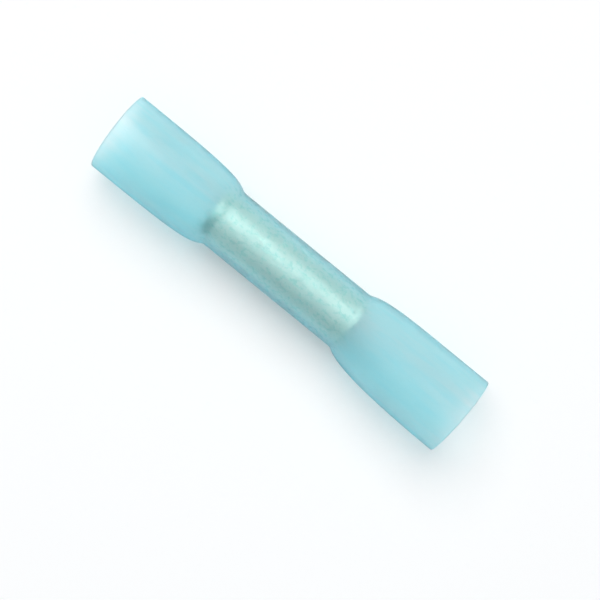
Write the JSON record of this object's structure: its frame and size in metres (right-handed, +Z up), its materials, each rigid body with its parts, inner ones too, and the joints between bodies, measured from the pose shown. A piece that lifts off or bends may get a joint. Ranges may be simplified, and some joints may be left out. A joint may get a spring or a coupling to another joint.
{
  "type": "heat-shrink butt splice connector",
  "caption": "Translucent heat-shrink sleeve, open and wider at both ends, shrunk at its waist onto a tinned crimp barrel that joins wires end to end.",
  "frame": {"origin": "centre of the footprint, on the surface that the connector lies on", "axes": "+X along the connector towards the end nearer the barrel, +Z up from the surface it lies on, +Y away from the side that the +X end has bent to"},
  "size_m": [0.0372, 0.0076, 0.0071],
  "materials": {
    "sleeve": "translucent pale blue polyolefin, satin",
    "barrel": "satin tin plating on copper"
  },
  "bodies": {
    "root": {"heat_shrink_sleeve": "sleeve", "crimp_barrel": "barrel"}
  },
  "joints": []
}
